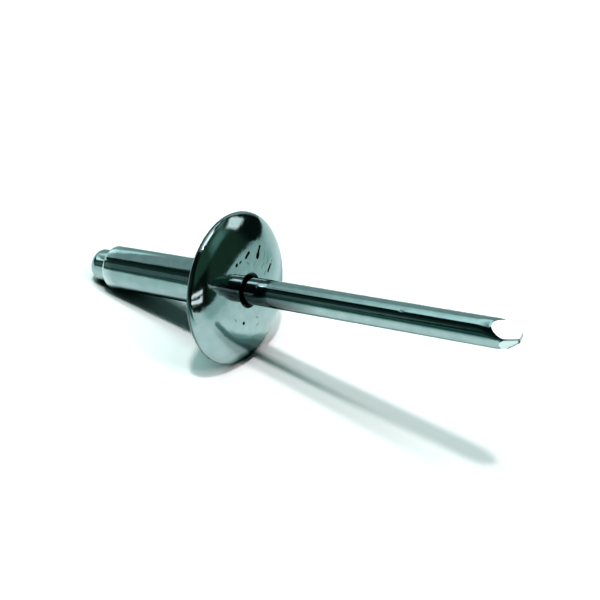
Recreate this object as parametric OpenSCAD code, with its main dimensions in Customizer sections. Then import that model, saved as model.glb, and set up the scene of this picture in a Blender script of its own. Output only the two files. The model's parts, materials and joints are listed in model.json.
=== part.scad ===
// Blind rivet with a large domed flange, lying on its rim and its blind end.
// Two pieces: a hollow flanged body, and the mandrel that is pulled through it.
// Each piece is drawn upright first, on its own axis: z = 0 is the flange's underside,
// +z points to the mandrel's point, and +x is the side that lies on the floor.

/* [Flange] */
// Diameter of the flange
flange_d = 16; // [12:0.1:20]
// Height of the flange, from its underside to the middle of its face
flange_h = 2.18; // [1.6:0.02:3.2]
// Height of the low dome on the face, as part of the flange's height
dome_h = 0.28; // [0.05:0.01:0.5]
// Diameter of the face, inside the rounded shoulder
face_d = 10; // [7:0.1:11]
// Radius of the rounded rim
rim_r = 0.5; // [0.2:0.05:0.6]

/* [Sleeve] */
// Outer diameter of the sleeve
sleeve_d = 4.8; // [4.5:0.05:6]
// Length of the sleeve under the flange
sleeve_l = 16.2; // [8:0.1:30]
// Radius of the rounded blind end
end_r = 0.45; // [0.1:0.05:0.5]
// Radius of the fillet under the flange
fillet_r = 0.2; // [0.05:0.05:0.6]
// Radius of the rounded mouth of the bore, at the face
mouth_r = 0.42; // [0.1:0.02:0.8]

/* [Mandrel] */
// Diameter of the mandrel's stem
stem_d = 2.86; // [2:0.02:3]
// Gap all round between the stem and the bore
stem_clearance = 0.05; // [0.02:0.01:0.1]
// Length of the stem that stands out of the face, with its point
stem_out = 30.12; // [15:0.02:45]
// Diameter of the mandrel's head
head_d = 3.6; // [3.5:0.05:4.2]
// Length of the head past the blind end
head_l = 2.6; // [1.6:0.1:4]
// Radius of the head's rounded end
head_end_r = 1.2; // [0.3:0.05:1.5]

/* [Pinched point] */
// Slope of the two wide facets to the axis, in degrees
wide_slope = 23; // [15:1:40]
// Slope of the two narrow facets to the axis, in degrees
narrow_slope = 28; // [15:1:40]
// Thickness of the blunt end between the wide facets
tip_t = 0.5; // [0.2:0.05:1.2]
// Width of the blunt end between the narrow facets
tip_w = 0.9; // [0.2:0.05:1.6]
// Turn of the facets about the axis, in degrees
point_turn = 28; // [0:1:180]

/* [Break notch] */
// Distance from the head's seat to the middle of the notch
notch_from_head = 1.6; // [1:0.1:4]
// Depth of each of the two notches
notch_depth = 0.5; // [0.2:0.05:0.8]
// Width of a notch at the stem's surface
notch_w = 0.8; // [0.4:0.05:1.6]

/* [Hidden] */
$fn = 96;
// Straight steps that draw one rounded corner
arc_steps = 16;
// How far a cutting shape reaches past what it cuts
cut_over = 1;

flange_r = flange_d / 2;
face_r = face_d / 2;
sleeve_r = sleeve_d / 2;
stem_r = stem_d / 2;
bore_r = stem_r + stem_clearance;
head_r = head_d / 2;
seat_z = -sleeve_l;
head_z = seat_z - head_l;
tip_z = flange_h + stem_out;

// Centres of the rounded corners, as [distance from the axis, height]
rim_c = [flange_r - rim_r, rim_r];
fillet_c = [sleeve_r + fillet_r, -fillet_r];
end_c = [sleeve_r - end_r, seat_z + end_r];
mouth_c = [bore_r + mouth_r, flange_h - mouth_r];
head_end_c = [head_r - head_end_r, head_z + head_end_r];

// The shoulder's arc starts level, below the dome, and runs smoothly into the rim
shoulder_h = flange_h - dome_h;
shoulder_run = rim_c.x - face_r;
shoulder_drop = shoulder_h - rim_c.y;
shoulder_r = (shoulder_run ^ 2 + shoulder_drop ^ 2 - rim_r ^ 2) / (2 * (shoulder_drop - rim_r));
shoulder_c = [face_r, shoulder_h - shoulder_r];
shoulder_end = atan2(rim_c.y - shoulder_c.y, rim_c.x - shoulder_c.x);

// The dome starts to fall inside the face and runs out on the shoulder
dome_from = 0.6 * face_r;
dome_to = face_r + 0.8 * shoulder_run;

// Lying angle of the axis: the floor touches the rim and whichever corner of the blind end comes first
function lay_on(c, r) =
    acos((r - rim_r) / norm(rim_c - c)) - atan2(rim_c.y - c.y, rim_c.x - c.x);
lay = min(lay_on(end_c, end_r), lay_on(head_end_c, head_end_r));
lift = rim_c.x * cos(lay) - rim_c.y * sin(lay) + rim_r;

// Ends of the lying rivet along x, so that the origin is under the middle of its length
tip_reach = (tip_t * cos(point_turn) + tip_w * sin(point_turn)) / 2;
x_high = tip_z * cos(lay) + tip_reach * sin(lay);
x_low = head_end_c.y * cos(lay) - head_end_c.x * sin(lay) - head_end_r;
x_middle = (x_high + x_low) / 2;

// Points along an arc, from one angle to another
function arc(c, r, from, to) =
    [for (i = [0:arc_steps]) let (a = from + (to - from) * i / arc_steps) c + r * [cos(a), sin(a)]];

// Raises a point of the face or shoulder by the dome, which falls off as a smooth wave
function domed(p) =
    let (t = min(1, max(0, (p.x - dome_from) / (dome_to - dome_from))))
    p + [0, dome_h * (1 - t + sin(360 * t) / (2 * PI))];

// Points of the face from the shoulder to the mouth of the bore, before the dome raises them
function face_line() =
    [for (i = [1:arc_steps - 1]) [face_r + (mouth_c.x - face_r) * i / arc_steps, shoulder_h]];

// Lays an upright piece down as the rivet comes to rest on a floor at z = 0
module laid() {
    translate([-x_middle, 0, lift])
        rotate([0, 90 - lay, 0])
            children();
}

// Half section of the body: sleeve, underside, rim, shoulder, domed face and the mouth of the bore
module body_section() {
    polygon(concat(
        [[bore_r, seat_z]],
        arc(end_c, end_r, -90, 0),
        arc(fillet_c, fillet_r, 180, 90),
        arc(rim_c, rim_r, -90, shoulder_end),
        [for (p = concat(arc(shoulder_c, shoulder_r, shoulder_end, 90), face_line())) domed(p)],
        arc(mouth_c, mouth_r, 90, 180)
    ));
}

// Half section of the mandrel: domed head, seat against the sleeve, and stem
module mandrel_section() {
    polygon(concat(
        [[0, head_z]],
        arc(head_end_c, head_end_r, -90, 0),
        [[head_r, seat_z], [stem_r, seat_z], [stem_r, tip_z], [0, tip_z]]
    ));
}

// Pulls a flat outline, drawn in x and z, right across the stem
module across_stem() {
    rotate([90, 0, 0])
        linear_extrude(stem_d + 2 * cut_over, center = true)
            children();
}

// What the pinch takes off for one pair of opposite facets
module facet_pair(end_width, slope) {
    side = stem_r + cut_over;
    top = tip_z + cut_over;
    for (turn = [0, 180])
        rotate([0, 0, turn])
            across_stem()
                polygon([
                    [end_width / 2 - cut_over * tan(slope), top],
                    [side, top],
                    [side, tip_z - (side - end_width / 2) / tan(slope)]
                ]);
}

// Two opposite V notches, where the stem snaps once the rivet is set
module break_notch() {
    middle = seat_z + notch_from_head;
    half_w = notch_w / 2 * (notch_depth + cut_over) / notch_depth;
    for (turn = [0, 180])
        rotate([0, 0, turn])
            across_stem()
                polygon([
                    [stem_r - notch_depth, middle],
                    [stem_r + cut_over, middle - half_w],
                    [stem_r + cut_over, middle + half_w]
                ]);
}

module rivet_body() {
    color([0.58, 0.66, 0.65])
        laid()
            rotate_extrude()
                body_section();
}

module mandrel() {
    color([0.52, 0.61, 0.6])
        laid()
            difference() {
                rotate_extrude()
                    mandrel_section();
                rotate([0, 0, point_turn]) {
                    facet_pair(tip_t, wide_slope);
                    rotate([0, 0, 90])
                        facet_pair(tip_w, narrow_slope);
                }
                break_notch();
            }
}

rivet_body();
mandrel();
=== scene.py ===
# %% [markdown]
# # A polished blind rivet
#
# The rivet is small, round and bright, so almost everything that the eye sees on it is a reflection.
# The lesson therefore has two halves. First the two steel pieces are turned, as on a lathe, with
# enough rings for the reflections to run smoothly. Then a small photographer's table is set up
# around them: a white floor, three soft boxes overhead, and cards that the steel can mirror.

import json
import math

import bmesh
import bpy
import numpy as np
from mathutils import Matrix, Vector


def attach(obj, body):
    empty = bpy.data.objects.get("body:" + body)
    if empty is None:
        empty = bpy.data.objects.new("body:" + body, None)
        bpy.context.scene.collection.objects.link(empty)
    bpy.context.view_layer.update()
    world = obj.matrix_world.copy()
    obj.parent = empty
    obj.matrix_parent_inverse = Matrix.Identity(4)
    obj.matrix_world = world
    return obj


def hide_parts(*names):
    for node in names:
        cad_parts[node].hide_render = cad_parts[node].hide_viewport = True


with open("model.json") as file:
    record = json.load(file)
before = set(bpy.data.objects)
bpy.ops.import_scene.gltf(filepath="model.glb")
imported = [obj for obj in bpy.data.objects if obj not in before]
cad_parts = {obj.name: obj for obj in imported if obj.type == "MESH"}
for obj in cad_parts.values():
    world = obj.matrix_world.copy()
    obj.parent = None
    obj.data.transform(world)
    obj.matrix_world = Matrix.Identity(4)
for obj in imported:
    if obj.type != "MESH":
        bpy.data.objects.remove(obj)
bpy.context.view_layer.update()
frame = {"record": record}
mm = 0.001

# %% [markdown]
# ## Where the rivet's axis lies
#
# The rivet lies on its rim and its blind end, so its axis is tilted. The angle could be typed in
# again, but the frame already knows it: the mounts carry points and directions on the same axis.
# Both pieces are drawn upright on their own axis and laid down by one matrix, `lying`. Upright, the
# flange's underside is at height 0 and the mandrel's point is up.

# %% Read the axis from the mounts
mounts = {mount["name"]: mount for mount in frame["record"]["mounts"]}
stem_mount = mounts["mandrel_stem"]
axis = Vector(stem_mount["axis"]).normalized()
on_axis = Vector(stem_mount["pos_m"])
underside = Vector(mounts["flange_underside"]["pos_m"])
axis_origin = on_axis + axis * (underside - on_axis).dot(axis)
sideways = Vector((0, 1, 0))
floor_side = sideways.cross(axis)
lying = Matrix((floor_side, sideways, axis)).transposed().to_4x4()
lying.translation = axis_origin
print("the axis rises", round(math.degrees(math.asin(axis.z)), 2), "degrees from the floor")

# %% [markdown]
# ## The sizes
#
# A turned piece is given by its half section, so its sizes are radii, heights and the radii of its
# rounded corners. Two radii come from the mounts, and the rest are written here once. The stem is a
# little thinner than the bore, or it could not be pulled through.

# %% Sizes of the body
sleeve_r = mounts["shank"]["dims"]["r_mm"] * mm
stem_r = stem_mount["dims"]["r_mm"] * mm
stem_clearance = 0.05 * mm
bore_r = stem_r + stem_clearance
flange_r = 8.0 * mm
flange_h = 2.18 * mm
dome_h = 0.28 * mm
face_r = 5.0 * mm
rim_r = 0.5 * mm
sleeve_l = 16.2 * mm
end_r = 0.45 * mm
fillet_r = 0.2 * mm
mouth_r = 0.42 * mm
print("flange", round(2 * flange_r / mm, 2), "mm across, sleeve", round(2 * sleeve_r / mm, 2), "mm across")

# %% Sizes of the mandrel
stem_out = 30.12 * mm
tip_z = flange_h + stem_out
head_r = 1.8 * mm
head_l = 2.6 * mm
head_end_r = 1.2 * mm
print("mandrel", round((tip_z + sleeve_l + head_l) / mm, 2), "mm long")

# %% [markdown]
# ## A lathe in a few lines
#
# A turned piece is a half section swept round an axis. Blender's Screw modifier does that too, but
# here each point should also remember where it was on the lathe, so that draw marks and scratches
# can follow the axis. So the rings are built directly: `turned` makes one ring per section point and
# stitches them. `lay_down` then lays the piece on the table and stores each point's upright place,
# in millimetres, as an attribute. Two more attributes wait there for paint: one darkens the steel,
# for dirt and painted shade, and one makes it paler, for bare metal and painted light.

# %% Section helpers
def arc(centre, radius, start, end, steps):
    """Points of a rounded corner, as (distance from the axis, height)."""
    angles = np.radians(np.linspace(start, end, steps + 1))
    return [(centre[0] + radius * math.cos(a), centre[1] + radius * math.sin(a)) for a in angles]


def straight(start, end, spacing):
    """Points between two section points, without the ends themselves."""
    length = math.dist(start, end)
    count = max(1, round(length / spacing))
    steps = np.linspace(0, 1, count + 1)[1:-1]
    return [(start[0] + (end[0] - start[0]) * t, start[1] + (end[1] - start[1]) * t) for t in steps]


# %% The lathe
def ring(radius, height, sides):
    """One ring of points; a radius of 0 gives a single point on the axis."""
    if radius == 0:
        return [Vector((0, 0, height))]
    turns = [2 * math.pi * i / sides for i in range(sides)]
    return [Vector((radius * math.cos(a), radius * math.sin(a), height)) for a in turns]


def stitch(bm, lower, upper):
    """Faces between two neighbouring rings of points."""
    sides = max(len(lower), len(upper))
    for i in range(sides):
        j = (i + 1) % sides
        below = [lower[i % len(lower)], lower[j % len(lower)]]
        above = [upper[j % len(upper)], upper[i % len(upper)]]
        bm.faces.new(list(dict.fromkeys(below + above)))


def turned(section, sides, closed):
    """An upright turned mesh from a half section that runs upwards on its outside."""
    bm = bmesh.new()
    rings = [[bm.verts.new(p) for p in ring(r, z, sides)] for r, z in section]
    pairs = list(zip(rings, rings[1:]))
    if closed:
        pairs.append((rings[-1], rings[0]))
    for lower, upper in pairs:
        stitch(bm, lower, upper)
    bmesh.ops.recalc_face_normals(bm, faces=bm.faces)
    return bm


# %% From the lathe to the table
SHARP = math.radians(28)


def lay_down(bm, name):
    """Turns an upright mesh into a lying piece with smooth faces and crisp edges."""
    for face in bm.faces:
        face.smooth = True
    for edge in bm.edges:
        edge.smooth = edge.calc_face_angle(0) < SHARP
    mesh = bpy.data.meshes.new(name)
    bm.to_mesh(mesh)
    bm.free()
    upright = np.array([v.co for v in mesh.vertices])
    place = mesh.attributes.new("lathe_mm", "FLOAT_VECTOR", "POINT")
    place.data.foreach_set("vector", (upright / mm).ravel())
    for kind in ("dirt_and_shade", "bare_and_lit"):
        mesh.attributes.new(kind, "FLOAT", "POINT")
    mesh.transform(lying)
    piece = bpy.data.objects.new(name, mesh)
    bpy.context.scene.collection.objects.link(piece)
    print(name, "has", len(mesh.polygons), "faces")
    return piece


# %% [markdown]
# ## The body
#
# The real body is cold formed: one end of a tube is spread into a flange, and the die leaves a low
# dome on its face. The section is one closed line, round the blind end, up the sleeve, round the
# rim, over shoulder and face, and back down the bore. The shoulder's arc touches the rim's arc, and
# the dome falls off as a smooth wave, because a mirror shows every kink. The face gets many rings,
# for the small dents that are pressed into it later.

# %% Corners of the body's section
rim_c = (flange_r - rim_r, rim_r)
mouth_c = (bore_r + mouth_r, flange_h - mouth_r)
end_c = (sleeve_r - end_r, end_r - sleeve_l)
fillet_c = (sleeve_r + fillet_r, -fillet_r)
shoulder_h = flange_h - dome_h
run = rim_c[0] - face_r
drop = shoulder_h - rim_c[1]
shoulder_r = (run ** 2 + drop ** 2 - rim_r ** 2) / (2 * (drop - rim_r))
shoulder_c = (face_r, shoulder_h - shoulder_r)
shoulder_end = math.degrees(math.atan2(rim_c[1] - shoulder_c[1], rim_c[0] - shoulder_c[0]))
print("the shoulder's arc has a radius of", round(shoulder_r / mm, 2), "mm")

# %% The dome on the face
dome_from = 0.6 * face_r
dome_to = face_r + 0.8 * run


def domed(point):
    """Raises the inner part of the face into a low dome that ends on the shoulder."""
    t = min(1, max(0, (point[0] - dome_from) / (dome_to - dome_from)))
    return point[0], point[1] + dome_h * (1 - t + math.sin(2 * math.pi * t) / (2 * math.pi))


# %% Turn the body
face_step = 0.045 * mm
sleeve_step = 0.3 * mm
bore_step = 2 * mm
blind_end = arc(end_c, end_r, -90, 0, steps=16)
fillet = arc(fillet_c, fillet_r, 180, 90, steps=8)
rim = arc(rim_c, rim_r, -90, shoulder_end, steps=28)
shoulder = arc(shoulder_c, shoulder_r, shoulder_end, 90, steps=48)
face_line = straight(shoulder[-1], (mouth_c[0], shoulder_h), face_step)
mouth = arc(mouth_c, mouth_r, 90, 180, steps=16)
bore_start = (bore_r, -sleeve_l)
body_section = (
    [bore_start] + blind_end + straight(blind_end[-1], fillet[0], sleeve_step) + fillet
    + straight(fillet[-1], rim[0], sleeve_step) + rim + [domed(p) for p in shoulder[1:] + face_line]
    + mouth + straight(mouth[-1], bore_start, bore_step)
)
rivet_body = lay_down(turned(body_section, sides=360, closed=True), "polished_body")

# %% [markdown]
# ## The mandrel
#
# The mandrel is one wire with a domed head upset at its end. The section gives the head, the seat
# under it and the stem. Four planes then shear the point, as the pinch tool does. A plane cut is
# exact and leaves crisp facets. Just before each cut the stem's skin is drawn in a little, because
# the tool drags it along. Last, each facet's plane scores the point once more from a little below,
# which gives the painted shade in the creases an edge to end on.

# %% Turn the wire
head_end_c = (head_r - head_end_r, head_end_r - sleeve_l - head_l)
head_end = arc(head_end_c, head_end_r, -90, 0, steps=24)
seat = [(head_r, -sleeve_l), (stem_r, -sleeve_l)]
stem_top = (stem_r, tip_z)
point_l = 5 * mm
fine_from = tip_z - point_l
wire_step = 0.16 * mm
point_step = 0.06 * mm
mandrel_section = (
    [(0, head_end_c[1] - head_end_r)] + head_end + seat
    + straight(seat[-1], (stem_r, fine_from), wire_step)
    + straight((stem_r, fine_from), stem_top, point_step) + [stem_top, (0, tip_z)]
)
wire = turned(mandrel_section, sides=160, closed=False)
print("the plain wire has", len(wire.faces), "faces")

# %% Planes of the point
tip_t = 0.5 * mm
tip_w = 0.9 * mm
wide_slope = math.radians(23)
narrow_slope = math.radians(28)
point_turn = math.radians(28)
up = Vector((0, 0, 1))


def facet_plane(turn, end_width, slope):
    """A point and the outward direction of one facet, which meets the blunt end at half its width."""
    outside = Vector((math.cos(turn), math.sin(turn), 0))
    return outside * end_width / 2 + up * tip_z, outside * math.cos(slope) + up * math.sin(slope)


facets = []
for side in (0, math.pi):
    facets.append(facet_plane(point_turn + side, tip_t, wide_slope))
    facets.append(facet_plane(point_turn + side + math.pi / 2, tip_w, narrow_slope))
blunt_end = (up * tip_z, up)
print("the point has", len(facets), "facets and a blunt end")

# %% Shear the point
roll_depth = 0.1 * mm
roll_width = 0.5 * mm
crease_w = 0.2 * mm


def roll_edge(bm, place, outwards):
    """Draws the stem's skin in a little before a facet, as the pinch drags it along."""
    for vert in bm.verts:
        radial = Vector((vert.co.x, vert.co.y, 0))
        if vert.co.z > fine_from and radial.length > 0:
            near = min(1, max(0, 1 + (vert.co - place).dot(outwards) / roll_width))
            vert.co -= radial.normalized() * roll_depth * near ** 2


def slice_at(bm, place, outwards, clear):
    """Slices a mesh with a plane, clears what is outside if asked, and gives the new edges."""
    everything = bm.verts[:] + bm.edges[:] + bm.faces[:]
    cut = bmesh.ops.bisect_plane(
        bm, geom=everything, plane_co=place, plane_no=outwards, clear_outer=clear
    )
    return [e for e in cut["geom_cut"] if isinstance(e, bmesh.types.BMEdge)]


for place, outwards in facets:
    roll_edge(wire, place, outwards)
for place, outwards in facets:
    bmesh.ops.edgenet_fill(wire, edges=slice_at(wire, place, outwards, clear=True))
for place, outwards in facets + [blunt_end]:
    slice_at(wire, place - outwards * crease_w, outwards, clear=False)
bmesh.ops.recalc_face_normals(wire, faces=wire.faces)
print("the sheared wire has", len(wire.faces), "faces")

# %% [markdown]
# ## The break notch
#
# Behind the head the wire is nicked on two sides, so that it snaps there once the rivet is set. The
# sleeve hides the notch, but the piece should be whole without it too. A notch is a pocket, which a
# single plane can't leave, so it is a boolean with two wedges.

# %% Cut the break notch
notch_from_head = 1.6 * mm
notch_depth = 0.5 * mm
notch_w = 0.8 * mm
wedge_reach = 1.0 * mm


def wedge(bm, turn):
    """A three-sided bar across the stem whose sharp edge reaches the notch's depth."""
    half_w = notch_w / 2 * (notch_depth + wedge_reach) / notch_depth
    middle = notch_from_head - sleeve_l
    inside = stem_r - notch_depth
    outside = stem_r + wedge_reach
    corners = [(inside, middle), (outside, middle - half_w), (outside, middle + half_w)]
    spin = Matrix.Rotation(turn, 4, "Z")
    near, far = (
        [bm.verts.new(spin @ Vector((x, y, z))) for x, z in corners] for y in (-outside, outside)
    )
    stitch(bm, near, far)
    bm.faces.new(near)
    bm.faces.new(far)


def cut_out(piece, cutter):
    """Takes a cutter away from a piece and deletes the cutter."""
    cut = piece.modifiers.new("notch", "BOOLEAN")
    cut.operation = "DIFFERENCE"
    cut.solver = "EXACT"
    cut.object = cutter
    graph = bpy.context.evaluated_depsgraph_get()
    whole = piece.data
    piece.data = bpy.data.meshes.new_from_object(piece.evaluated_get(graph))
    piece.modifiers.clear()
    bpy.data.meshes.remove(whole)
    bpy.data.objects.remove(cutter)


wedges = bmesh.new()
for turn in (0, math.pi):
    wedge(wedges, turn)
bmesh.ops.recalc_face_normals(wedges, faces=wedges.faces)
notch_cutter = lay_down(wedges, "notch_wedges")
mandrel = lay_down(wire, "polished_mandrel")
cut_out(mandrel, notch_cutter)
print("the notched mandrel has", len(mandrel.data.polygons), "faces")

# %% [markdown]
# ## Handling marks
#
# The rivet has been tumbled with others in a box, so its face has a few small dents and scratches,
# and its stem a nick. A dent could be painted, but a mirror shows even a shallow hollow as a bend in
# its reflections, so the marks are pressed into the mesh. Each is a short groove between two places
# on the upright piece, and its depth is also stored as paint that darkens the steel, the more the
# deeper the groove is.

# %% Helpers for marks and paint
def upright_places(piece):
    """Each point's place on the lathe, in millimetres."""
    places = np.empty(len(piece.data.vertices) * 3)
    piece.data.attributes["lathe_mm"].data.foreach_get("vector", places)
    return places.reshape(-1, 3)


def beside_line(points, start, end):
    """How far along a line each point is, 0 to 1, and how far away from the line."""
    a, b = np.array(start, float), np.array(end, float)
    along = np.clip(((points - a) @ (b - a)) / max((b - a) @ (b - a), 1e-9), 0, 1)
    return along, np.linalg.norm(points - a - along[:, None] * (b - a), axis=1)


def bell(away, half_width):
    """1 on a line, falling softly to 0 at half its width."""
    return np.clip(1 - (away / half_width) ** 2, 0, 1) ** 2


def raise_to(piece, kind, values):
    """Raises one of the two paint attributes where the new values are higher."""
    paint = piece.data.attributes[kind].data
    before = np.empty(len(paint))
    paint.foreach_get("value", before)
    paint.foreach_set("value", np.maximum(before, values))
    print(piece.name, "has", kind, "on", int((values > 0.05).sum()), "points")


# %% Press the marks
fully_dark = 0.02


def press_marks(piece, marks, on_face=False):
    """Sinks short grooves, given as start, end, half width and depth in millimetres.

    Grooves on the face are given as seen from above, without a height. Each groove is also painted
    darker the deeper it is, fully dark from the depth `fully_dark` on.
    """
    mesh = piece.data
    upright = upright_places(piece)
    flat = upright[:, :2] if on_face else upright
    depth = np.zeros(len(upright))
    for start, end, half_width, deep in marks:
        depth = np.maximum(depth, deep * bell(beside_line(flat, start, end)[1], half_width))
    if on_face:
        depth[upright[:, 2] < shoulder_h / mm] = 0
    normals = np.array([v.normal for v in mesh.vertices])
    places = np.array([v.co for v in mesh.vertices]) - normals * depth[:, None] * mm
    mesh.vertices.foreach_set("co", places.ravel())
    mesh.update()
    raise_to(piece, "dirt_and_shade", np.clip(depth / fully_dark, 0, 1))


# %% Marks on the face and the stem
face_dents = [
    ((-3.85, 2.72), (-3.25, 2.2), 0.17, 0.07),
    ((-3.2, 2.18), (-2.95, 2.0), 0.3, 0.09),
    ((-3.95, 0.7), (-3.65, 0.1), 0.2, 0.07),
    ((-3.6, -0.75), (-3.5, -1.0), 0.12, 0.05),
    ((-3.5, -1.5), (-3.47, -1.6), 0.2, 0.08),
    ((-1.25, 4.1), (-0.7, 3.45), 0.15, 0.06),
    ((2.95, -1.79), (2.97, -1.75), 0.2, 0.08),
]
scratch_half_w = 0.09
scratch_depth = 0.014
scratch_lines = [
    ((-2.9, 3.5), (-2.3, 3.0)), ((-2.2, 3.9), (-1.6, 3.4)), ((-1.9, 2.9), (-1.5, 2.4)),
    ((-2.6, 1.5), (-2.3, 1.2)), ((-1.6, 4.5), (-1.1, 4.2)), ((-0.9, 3.0), (-0.6, 2.7)),
    ((-3.1, 0.2), (-2.8, 0.4)), ((1.9, -3.1), (2.2, -2.9)), ((3.2, 0.4), (3.5, 0.7)),
    ((4.1, 0.7), (4.2, 0.3)), ((2.6, 2.6), (3.0, 2.9)), ((1.2, 3.6), (1.6, 3.9)),
]
face_scratches = [(start, end, scratch_half_w, scratch_depth) for start, end in scratch_lines]
stem_nick = ((-1.13, -0.88, 20.45), (-1.11, -0.9, 20.7), 0.22, 0.012)
press_marks(rivet_body, face_dents + face_scratches, on_face=True)
press_marks(mandrel, [stem_nick])

# %% [markdown]
# ## Painted shade, bare metal and painted light
#
# Painted shade darkens the mouth of the bore, the edge round the rim, the stem's lower side where it
# leaves the face, and the creases of the point. The end of the sleeve is painted paler, as painted
# light, and the sheared point is paler because its metal is bare. Both could be masks drawn by nodes,
# but they follow the shape, so they are worked out point by point and stored as attributes.

# %% Painted shade and a painted paler end on the body
mouth_shade_fade = 0.06
rim_inside = 7.6
rim_top = 0.66
rim_fade = 0.14
rim_shade_share = 0.75
lit_end_l = 1.6
lit_end_fade = 1.2
lit_end_share = 0.7
body_at = upright_places(rivet_body)
from_axis = np.hypot(body_at[:, 0], body_at[:, 1])
from_end = body_at[:, 2] + sleeve_l / mm
on_rim = np.clip((rim_top - body_at[:, 2]) / rim_fade, 0, 1) * (from_axis > rim_inside)
# Painted shade in the mouth of the bore.
raise_to(rivet_body, "dirt_and_shade", np.clip(((bore_r + mouth_r) / mm - from_axis) / mouth_shade_fade, 0, 1))
# Painted shade round the rim's outer edge, from its underside up.
raise_to(rivet_body, "dirt_and_shade", rim_shade_share * on_rim)
# The blind end of the sleeve is painted paler, as painted light, fading out 1.6 mm from the end.
raise_to(rivet_body, "bare_and_lit", lit_end_share * np.clip((lit_end_l - from_end) / lit_end_fade, 0, 1))

# %% Painted shade on the stem's lower side
low_stem_shade_start = (0.45, -1.36, 2.2)
low_stem_shade_end = (0.2, -1.41, 11.5)
low_stem_shade_half_w = 1.8
low_stem_shade_share = 0.95
low_stem_shade_fall = 2.2
wire_at = upright_places(mandrel)
along, away = beside_line(wire_at, low_stem_shade_start, low_stem_shade_end)
# Painted shade on the stem's lower side where it leaves the face, fading along the stem.
raise_to(mandrel, "dirt_and_shade", low_stem_shade_share * (1 - along ** low_stem_shade_fall) * bell(away, low_stem_shade_half_w))

# %% Bare metal on the point, and painted shade in its creases
on_plane = 0.001
lower_facet = 3
planes = [(np.array(place) / mm, np.array(outwards)) for place, outwards in facets + [blunt_end]]
from_planes = np.array([np.abs((wire_at - place) @ outwards) for place, outwards in planes])
from_others = np.delete(from_planes, lower_facet, axis=0).min(axis=0)
from_crease = np.maximum(from_planes[lower_facet], from_others)
crease_shade = np.clip(1 - from_crease / (crease_w / mm), 0, 1) ** 0.5
at_point = wire_at[:, 2] > fine_from / mm
raise_to(mandrel, "bare_and_lit", at_point * (from_planes.min(axis=0) < on_plane))
# Painted shade in the creases along the lower facet's edges.
raise_to(mandrel, "dirt_and_shade", at_point * crease_shade)

# %% [markdown]
# ## Polished steel
#
# Bright steel is nearly all reflection: a metallic shader with low roughness. What makes it steel and
# not a perfect mirror is small: the colour and the roughness wander, drawing the wire leaves fine
# lines along it, bare metal and painted light are paler, and dirt and painted shade are nearly black.
# Colour and lines are worked out from `lathe_mm`, so they follow the axis of the lying piece. The
# flange was pressed, not drawn, so its streaks are short and faint.

# %% Node helpers
def node(tree, kind, **inputs):
    """Adds a node and sets its inputs by name."""
    new = tree.nodes.new(kind)
    for name, value in inputs.items():
        new.inputs[name.replace("_", " ")].default_value = value
    return new


def stored(tree, name):
    """A node that reads an attribute of the mesh."""
    reader = node(tree, "ShaderNodeAttribute")
    reader.attribute_name = name
    return reader


def colour_mix(tree, factor, first, second):
    """Mixes two colours by a factor; a colour is a value or another node's output."""
    mix = node(tree, "ShaderNodeMix")
    mix.data_type = "RGBA"
    tree.links.new(factor, mix.inputs["Factor"])
    for side, colour in (("A", first), ("B", second)):
        if isinstance(colour, tuple):
            mix.inputs[side].default_value = (*colour, 1)
        else:
            tree.links.new(colour, mix.inputs[side])
    return mix.outputs["Result"]


def noise_on(tree, place, stretch, scale, detail):
    """A noise that is stretched along the lathe's own directions."""
    mapping = node(tree, "ShaderNodeMapping", Scale=stretch)
    tree.links.new(place.outputs["Vector"], mapping.inputs["Vector"])
    grain = node(tree, "ShaderNodeTexNoise", Scale=scale, Detail=detail)
    tree.links.new(mapping.outputs["Vector"], grain.inputs["Vector"])
    return grain.outputs["Fac"]


def spread(tree, value, low, high):
    """Maps the middle of a noise to a range."""
    ranged = node(tree, "ShaderNodeMapRange", From_Min=0.3, From_Max=0.7, To_Min=low, To_Max=high)
    tree.links.new(value, ranged.inputs["Value"])
    return ranged.outputs["Result"]


# %% The steel
bare_and_lit_pale = (0.76, 0.85, 0.85)
dirt_and_shade_dark = (0.004, 0.008, 0.007)


def polished_steel(name, bright, dull, streak_stretch, roughness, line_depth, wave_depth):
    """Metal with wandering colour and roughness, fine lines, bare metal and painted light, dirt and painted
    shade.
    """
    material = bpy.data.materials.new(name)
    material.use_nodes = True
    tree = material.node_tree
    shader = tree.nodes["Principled BSDF"]
    shader.inputs["Metallic"].default_value = 1.0
    place = stored(tree, "lathe_mm")
    clouds = noise_on(tree, place, (1, 1, 1), scale=0.9, detail=3)
    streaks = noise_on(tree, place, streak_stretch, scale=1.0, detail=4)

    steel = colour_mix(tree, spread(tree, clouds, 0, 1), dull, bright)
    # Paler where the sheared point is bare metal, and at the end of the sleeve as painted light.
    steel = colour_mix(tree, stored(tree, "bare_and_lit").outputs["Fac"], steel, bare_and_lit_pale)
    # Nearly black with the dark paint: in the dents and the nick, and as painted shade in the bore's mouth,
    # round the rim's edge, on the stem's lower side and in the point's creases.
    steel = colour_mix(tree, stored(tree, "dirt_and_shade").outputs["Fac"], steel, dirt_and_shade_dark)
    tree.links.new(steel, shader.inputs["Base Color"])

    tree.links.new(spread(tree, streaks, *roughness), shader.inputs["Roughness"])
    lines = node(tree, "ShaderNodeBump", Strength=1.0, Distance=line_depth)
    tree.links.new(streaks, lines.inputs["Height"])
    waves = node(tree, "ShaderNodeBump", Strength=1.0, Distance=wave_depth)
    tree.links.new(clouds, waves.inputs["Height"])
    tree.links.new(lines.outputs["Normal"], waves.inputs["Normal"])
    tree.links.new(waves.outputs["Normal"], shader.inputs["Normal"])
    print(name, "ready")
    return material


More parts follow.
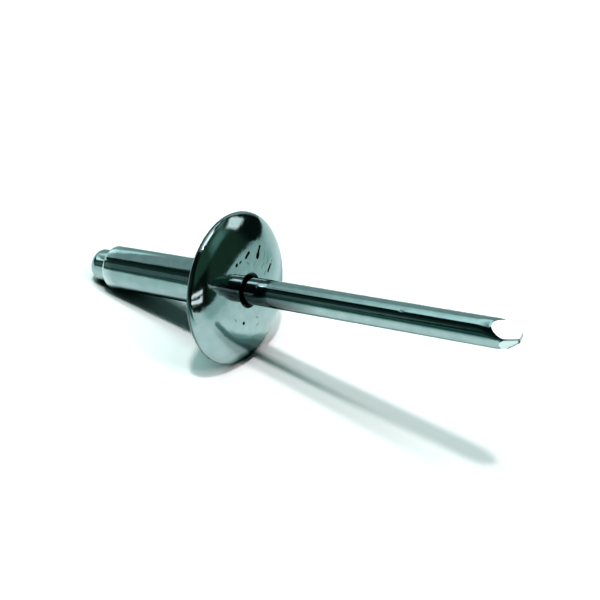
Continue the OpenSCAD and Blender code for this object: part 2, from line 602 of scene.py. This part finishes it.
pressed_steel = polished_steel(
    "pressed_steel", bright=(0.37, 0.475, 0.48), dull=(0.31, 0.41, 0.415), streak_stretch=(2.2, 2.2, 0.5),
    roughness=(0.05, 0.10), line_depth=0.0016 * mm, wave_depth=0.012 * mm,
)
drawn_steel = polished_steel(
    "drawn_steel", bright=(0.38, 0.485, 0.49), dull=(0.31, 0.41, 0.415), streak_stretch=(7, 7, 0.12),
    roughness=(0.05, 0.11), line_depth=0.0012 * mm, wave_depth=0.008 * mm,
)

# %% Dress the pieces
dressing = (
    (rivet_body, "rivet_body", pressed_steel, "body_steel"),
    (mandrel, "mandrel", drawn_steel, "mandrel_steel"),
)
for piece, cad_node, steel, slot in dressing:
    piece.data.materials.clear()
    piece.data.materials.append(steel)
    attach(piece, "root")
    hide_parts(cad_node)
    print(piece.name, "stands for", cad_node)

# %% [markdown]
# ## The camera
#
# The camera looks down on the rivet from the front right with a short telephoto lens, tilted a little
# so that the mandrel falls to the right. It is set by what a photographer would measure: the point
# aimed at, the distance, the heading, the height angle and the roll.

# %% Set the camera
aim = Vector((0.1, 3.0, 7.7)) * mm
distance = 129.5 * mm
heading = math.radians(116.8)
look_down = math.radians(34.65)
roll = math.radians(11.4)
level = Vector((math.sin(heading), -math.cos(heading), 0))
ahead = up.cross(level) * math.cos(look_down) - up * math.sin(look_down)
right = level * math.cos(roll) + level.cross(ahead) * math.sin(roll)
camera_data = bpy.data.cameras.new("camera")
camera_data.lens = 75
camera_data.sensor_width = 36
camera_data.clip_start = 5 * mm
camera = bpy.data.objects.new("camera", camera_data)
pose = Matrix((right, right.cross(ahead), -ahead)).transposed().to_4x4()
pose.translation = aim - ahead * distance
camera.matrix_world = pose
bpy.context.scene.collection.objects.link(camera)
bpy.context.scene.camera = camera
print("camera at", [round(c / mm, 1) for c in camera.location], "mm")

# %% [markdown]
# ## The white floor
#
# The rivet lies on white board, which a camera set for dark steel shows as pure white, with deep
# shade only where the steel nearly touches it. Stronger lamps would do that too, but they would
# bleach the steel. So the board's material does it. A Light Path node picks out the rays that come
# from the camera, or by way of the steel, and shows them a full white, darker where an Ambient
# Occlusion node finds steel within a few millimetres. Other rays meet a dim board, which throws
# little light back up at the rivet.

# %% Helpers for the stage's materials
def blank_material(name):
    """A material with an empty node tree."""
    material = bpy.data.materials.new(name)
    material.use_nodes = True
    material.node_tree.nodes.clear()
    return material


def show(material, shader):
    """Shows a shader's output on a material's surface."""
    output = node(material.node_tree, "ShaderNodeOutputMaterial")
    material.node_tree.links.new(shader, output.inputs["Surface"])
    return material


def calculated(tree, operation, first, second):
    """A Math node's result from an output and either another output or a number."""
    maths = node(tree, "ShaderNodeMath")
    maths.operation = operation
    tree.links.new(first, maths.inputs[0])
    if isinstance(second, float):
        maths.inputs[1].default_value = second
    else:
        tree.links.new(second, maths.inputs[1])
    return maths.outputs["Value"]


def smooth_range(tree, value, low, high):
    """A soft step from 0 at one value to 1 at another."""
    ranged = node(tree, "ShaderNodeMapRange", From_Min=low, From_Max=high, To_Min=0.0, To_Max=1.0)
    ranged.interpolation_type = "SMOOTHSTEP"
    tree.links.new(value, ranged.inputs["Value"])
    return ranged.outputs["Result"]


def seen_directly(tree):
    """1 for rays from the camera, from glossy steel or through glass, and 0 after a matt bounce."""
    path = node(tree, "ShaderNodeLightPath")
    seen = path.outputs["Is Camera Ray"]
    for kind in ("Is Glossy Ray", "Is Transmission Ray"):
        seen = calculated(tree, "MAXIMUM", seen, path.outputs[kind])
    no_matt_bounce = calculated(tree, "LESS_THAN", path.outputs["Diffuse Depth"], 0.5)
    return calculated(tree, "MULTIPLY", seen, no_matt_bounce)


# %% Lay the floor
contact_reach = 4 * mm
contact_dark = (0.03, 0.09, 0.075)
full_white = (1.25, 1.25, 1.25)
dim_board = (0.2, 0.24, 0.23)
floor_half = 3.0


def white_board():
    """Matt white board with deep shade close under the steel."""
    material = blank_material("white_board")
    tree = material.node_tree
    close = node(tree, "ShaderNodeAmbientOcclusion", Distance=contact_reach)
    close.samples = 12
    open_share = smooth_range(tree, close.outputs["AO"], 0.2, 0.6)
    shown = colour_mix(tree, open_share, contact_dark, full_white)
    matt = node(tree, "ShaderNodeBsdfDiffuse")
    tree.links.new(colour_mix(tree, seen_directly(tree), dim_board, shown), matt.inputs["Color"])
    return show(material, matt.outputs["BSDF"])


floor_bm = bmesh.new()
bmesh.ops.create_grid(floor_bm, x_segments=8, y_segments=8, size=floor_half)
floor_mesh = bpy.data.meshes.new("floor")
floor_bm.to_mesh(floor_mesh)
floor_bm.free()
floor_mesh.materials.append(white_board())
floor = bpy.data.objects.new("floor", floor_mesh)
bpy.context.scene.collection.objects.link(floor)
print("floor laid")

# %% [markdown]
# ## Lamps
#
# The shadows tell where the lamps hang. The stem throws two: one from a small softbox a little in
# front of the rivet, and one from a long box over the point's side that runs along the rivet. Where
# the two overlap there is a dark line. A wide cool box over the blind end fills the rest and gives the
# shadows their colour. Sun lamps could throw the same shadows, but the steel would mirror them as
# dots; an area lamp shows as the panel it is. Only the small box is left for the steel to mirror,
# and cards do that work for the others. The boxes hang far away, so that they light the whole floor
# evenly. Each is given by its direction, its size as an angle and the share of white that it gives.

# %% Hang the lamps
lamp_away = 1.8


def facing_middle(direction, away):
    """Places something at a distance, with its -Z side to the rivet and its X side along the rivet."""
    back = direction.normalized()
    across = Vector((1, 0, 0))
    across = (across - back * across.dot(back)).normalized()
    turn = Matrix((across, back.cross(across), back)).transposed().to_4x4()
    turn.translation = back * away
    return turn


def softbox(name, direction, along_deg, across_deg, share, colour, mirrored):
    """An area lamp whose share is the part of full white that it gives to the floor."""
    light = bpy.data.lights.new(name, "AREA")
    light.shape = "RECTANGLE"
    light.size = 2 * lamp_away * math.tan(math.radians(along_deg / 2))
    light.size_y = 2 * lamp_away * math.tan(math.radians(across_deg / 2))
    light.color = colour
    slant = direction.normalized().z
    light.energy = share * (math.pi * lamp_away) ** 2 / slant
    lamp = bpy.data.objects.new(name, light)
    lamp.matrix_world = facing_middle(direction, lamp_away)
    lamp.visible_camera = False
    lamp.visible_glossy = mirrored
    bpy.context.scene.collection.objects.link(lamp)
    print(name, "gives", round(light.energy, 2), "W")


neutral = (1.0, 0.97, 0.975)
cool = (0.62, 1.0, 0.95)
key_lean = 0.222
softbox("key_softbox", Vector((-0.02, -key_lean, 1)), 4.5, 4.5, 0.40, neutral, mirrored=True)
softbox("long_softbox", Vector((0.5, -0.02, 1)), 48, 4.5, 0.32, neutral, mirrored=False)
softbox("wide_softbox", Vector((-0.35, -0.08, 1)), 34, 34, 0.36, cool, mirrored=False)

# %% [markdown]
# ## A dark tent
#
# A mirror without surroundings is black or as white as the room. A photographer puts a dark tent over
# polished metal, so that its edges read against the white floor, and then adds cards. Tent and cards
# are only for the steel: the camera, the floor and the lamps don't see them.

# %% Put up the tent
def only_mirrored(name, bm, material):
    """Makes a stage piece that shows in reflections and nowhere else."""
    mesh = bpy.data.meshes.new(name)
    bm.to_mesh(mesh)
    bm.free()
    mesh.materials.append(material)
    thing = bpy.data.objects.new(name, mesh)
    bpy.context.scene.collection.objects.link(thing)
    thing.visible_camera = False
    thing.visible_diffuse = False
    thing.visible_shadow = False
    return thing


def dark_cloth(colour):
    """Plain dark cloth, as a faint even glow."""
    material = blank_material("dark_cloth")
    cloth = node(material.node_tree, "ShaderNodeEmission", Color=(*colour, 1))
    return show(material, cloth.outputs["Emission"])


tent_r = 2.0
tent_bm = bmesh.new()
bmesh.ops.create_icosphere(tent_bm, subdivisions=4, radius=tent_r)
only_mirrored("dark_tent", tent_bm, dark_cloth((0.003, 0.009, 0.007)))
print("dark tent up")

# %% [markdown]
# ## The table, as the steel sees it
#
# The steel mirrors the floor as well, and an even white floor would wash out its lower half. On a
# real table dark paper is pushed in close around the metal. Here instead a thin film over the floor,
# which only the steel sees, paints shade and shadows into the floor's reflection. Its points carry a
# tint, and a Transparent shader multiplies the floor below by it, so the real shadows still show
# through. The shade is the deepest of a few simple forms round the rivet, worked out in
# millimetres, and the deeper it is the more it leans to green-blue.

# %% Shade on the table
def step(value, start, end):
    """A soft step from 0 at the start to 1 at the end."""
    t = np.clip((value - start) / (end - start), 0, 1)
    return t * t * (3 - 2 * t)


def far_shade(x, y):
    """Shade that grows with the distance, most of all beyond the point."""
    away = np.hypot(x, y)
    heading = np.degrees(np.arctan2(y, x))
    beyond_point = step(heading, -15, 5) * (1 - step(heading, 62, 82))
    far = 0.45 * step(away, 12, 60) + 0.2 * step(np.log(away), math.log(100), math.log(1500))
    return (0.35 + 0.65 * beyond_point) * far


def front_shade(x, y):
    """Painted shade on the camera's side, which ends in a slant towards the point."""
    reach = step(-y - 0.2 * np.minimum(x, 0), 12, 48) * (1 - step(x + 0.55 * y, 10, 40))
    return (0.955 - 0.03 * (1 - step(x, -120, -20))) * reach


def stem_shade(x, y):
    """A strip along the stem's own shadow, which leans away from the small softbox."""
    stem_height = (axis_origin.z + (x * mm - axis_origin.x) * axis.z / axis.x) / mm
    beside = np.abs(y - key_lean * stem_height - 0.8)
    return 0.64 * (1 - step(beside, 1.3, 2.8)) * step(x, -6, -4) * (1 - step(x, 22, 36))


def close_shade(x, y):
    """Shade close to the body: behind the rim, under the sleeve, at the contact and on two sides."""
    behind_rim = 0.6 * (1 - step(np.hypot(x + 9, y - 17), 3, 13))
    under_sleeve = 0.8 * (1 - step(np.abs(y - 0.2), 1.9, 2.7)) * step(x, -22, -17) * (1 - step(x, -10, -8))
    contact = 0.85 * (1 - step(np.hypot(x + 3.4, 0.6 * y), 1.0, 2.2))
    left = 0.24 * step(-x, 10, 20) * step(-y, 2, 8)
    back = 0.75 * step(-x, 28, 36) * step(y, 6, 11)
    return np.maximum.reduce([behind_rim, under_sleeve, contact, left, back])


# %% Lay the film
film_height = 0.05 * mm
film_clearness = 0.92
film_tint = (1.15, 0.8, 0.85)


def tinted_film():
    """A clear film that multiplies what is behind it by the stored tint."""
    material = blank_material("tinted_film")
    tree = material.node_tree
    film = node(tree, "ShaderNodeBsdfTransparent")
    tree.links.new(stored(tree, "tint").outputs["Color"], film.inputs["Color"])
    return show(material, film.outputs["BSDF"])


film_bm = bmesh.new()
radii = np.concatenate([np.arange(0.5, 30, 0.5), np.arange(30, 160, 2), np.geomspace(160, 1800, 24)])
film_rings = [[film_bm.verts.new(p) for p in ring(r * mm, film_height, 360)] for r in radii]
for inner, outer in zip(film_rings, film_rings[1:]):
    stitch(film_bm, inner, outer)
film_mesh = only_mirrored("dark_table", film_bm, tinted_film()).data
film_x, film_y = (np.array([v.co for v in film_mesh.vertices]) / mm).T[:2]
shades = (far_shade, front_shade, stem_shade, close_shade)
shade = np.maximum.reduce([kind(film_x, film_y) for kind in shades])
clearness = film_clearness * (1 - shade)
tint = np.stack([clearness ** power for power in film_tint] + [np.ones(len(clearness))], axis=1)
film_mesh.attributes.new("tint", "FLOAT_COLOR", "POINT").data.foreach_set("color", tint.ravel())
print("the film has", len(film_mesh.vertices), "points")

# %% [markdown]
# ## Cards for the steel to mirror
#
# Each bright shape in the steel is a card: a soft one overhead, panes of a window low on the right,
# a patch high on the rim. Large dim cards, called washes here, hang behind the others and lift the
# black a little. Two small ones stand close to the blind end, where far cards would light the sleeve
# too. A card could be an area lamp, but then it would light the floor. So it is a sheet with an
# Emission shader that fades to clear at its edges. It is placed by azimuth, from the point's side,
# and by the angle down from straight above, and its size is an angle too.

# %% Make a card
card_away = 0.9


def soft_edge(tree, place, share):
    """Rises from 0 at both edges of a card to 1 over a share of its size."""
    from_edge = calculated(tree, "PINGPONG", place, 0.5)
    return smooth_range(tree, from_edge, 0.0, share)


def glow(name, colour, strength, soft):
    """An even glow that fades over the outer shares of a card, across and up."""
    material = blank_material(name)
    tree = material.node_tree
    uv = node(tree, "ShaderNodeUVMap")
    split = node(tree, "ShaderNodeSeparateXYZ")
    tree.links.new(uv.outputs["UV"], split.inputs["Vector"])
    across, upwards = (soft_edge(tree, split.outputs[side], share) for side, share in zip("XY", soft))
    lit = node(tree, "ShaderNodeEmission", Color=(*colour, 1), Strength=strength)
    clear = node(tree, "ShaderNodeBsdfTransparent")
    blend = node(tree, "ShaderNodeMixShader")
    tree.links.new(calculated(tree, "MULTIPLY", across, upwards), blend.inputs["Fac"])
    tree.links.new(clear.outputs["BSDF"], blend.inputs[1])
    tree.links.new(lit.outputs["Emission"], blend.inputs[2])
    return show(material, blend.outputs["Shader"])


def upright_at(azimuth, zenith, away):
    """Places a card in a direction, with its face to the rivet and its lower edge level."""
    a, z = math.radians(azimuth), math.radians(zenith)
    back = Vector((math.sin(z) * math.cos(a), math.sin(z) * math.sin(a), math.cos(z)))
    level = up.cross(back).normalized()
    turn = Matrix((level, back.cross(level), back)).transposed().to_4x4()
    turn.translation = back * away
    return turn


def card(name, azimuth, zenith, width_deg, height_deg, colour, strength, soft, near=Vector(), away=card_away):
    """A pale card in a direction from a place, with its size as an angle seen from there."""
    bm = bmesh.new()
    uv = bm.loops.layers.uv.new("card")
    half = [away * math.tan(math.radians(size / 2)) for size in (width_deg, height_deg)]
    corners = [(-1, -1), (1, -1), (1, 1), (-1, 1)]
    sheet = bm.faces.new([bm.verts.new((x * half[0], y * half[1], 0)) for x, y in corners])
    for loop, (x, y) in zip(sheet.loops, corners):
        loop[uv].uv = ((x + 1) / 2, (y + 1) / 2)
    thing = only_mirrored(name, bm, glow(name, colour, strength, soft))
    thing.matrix_world = Matrix.Translation(near) @ upright_at(azimuth, zenith, away)
    print(name, "stands at azimuth", azimuth, "zenith", zenith)


# %% Cards above and around
warm_white = (1, 0.95, 0.95)
cold_white = (0.95, 1, 1)
teal = (0.72, 1.0, 0.98)
strip_teal = (0.6, 1, 0.93)
right_teal = (0.45, 1, 0.85)
card("overhead_card", 170, 5, 36, 36, warm_white, 2.6, soft=(0.2, 0.2))
card("streak_card", 25, 17, 24, 10, warm_white, 3.0, soft=(0.2, 0.2))
card("patch_card", 62.5, 58.5, 24, 23, cold_white, 1.5, soft=(0.25, 0.25))
card("window_top_card", 329, 74.2, 56, 4.6, warm_white, 1.8, soft=(0.08, 0.15))
card("window_low_card", 329, 80.8, 56, 4.8, warm_white, 1.8, soft=(0.08, 0.15))
card("back_card", 136, 68, 102, 54, teal, 0.46, soft=(0.08, 0.08))
card("left_card", 168, 38, 54, 40, teal, 1.5, soft=(0.1, 0.5))
card("right_card", 31, 48, 36, 28, right_teal, 0.3, soft=(0.4, 0.4))
card("front_strip", 225, 80, 28, 17, strip_teal, 0.17, soft=(0.1, 0.1))

# %% Washes behind the cards
wash_away = 1.2
deep_teal = (0.35, 1.0, 0.85)
green = (0.38, 1.0, 0.65)
card("right_wash", 30, 74, 52, 46, green, 0.05, soft=(0.3, 0.3), away=wash_away)
card("upper_wash", 10, 42, 90, 44, green, 0.075, soft=(0.2, 0.2), away=wash_away)
card("top_wash", 72, 33, 40, 24, teal, 0.25, soft=(0.3, 0.3), away=1.1)
card("front_wash", 222, 74, 84, 40, deep_teal, 0.04, soft=(0.4, 0.4), away=wash_away)

# %% Cards close to the blind end
close_away = 20 * mm
on_sleeve = axis_origin - axis * (sleeve_l - 3.3 * mm)
on_head = axis_origin - axis * (sleeve_l + 1.5 * mm)
card("end_card", 158, 66, 50, 14, teal, 1.3, soft=(0.3, 0.3), near=on_sleeve, away=close_away)
card("head_card", 191, 62.5, 40, 8, teal, 1.8, soft=(0.2, 0.2), near=on_head, away=close_away)

# %% [markdown]
# ## The room
#
# Beyond the floor the room is white to the camera. To the floor it gives only a little cool light,
# which keeps the deepest shadows from turning black. A Light Path node tells the two apart again.

# %% Set the world
world = bpy.data.worlds.new("studio")
bpy.context.scene.world = world
world.use_nodes = True
room = world.node_tree
room.nodes.clear()
white = node(room, "ShaderNodeBackground", Color=(1, 1, 1, 1), Strength=1.0)
fill = node(room, "ShaderNodeBackground", Color=(0.01, 0.03, 0.025, 1), Strength=1.0)
choose = node(room, "ShaderNodeMixShader")
room.links.new(seen_directly(room), choose.inputs["Fac"])
room.links.new(fill.outputs["Background"], choose.inputs[1])
room.links.new(white.outputs["Background"], choose.inputs[2])
output = node(room, "ShaderNodeOutputWorld")
room.links.new(choose.outputs["Shader"], output.inputs["Surface"])
bpy.context.scene.view_settings.view_transform = "Standard"
print("studio lit")
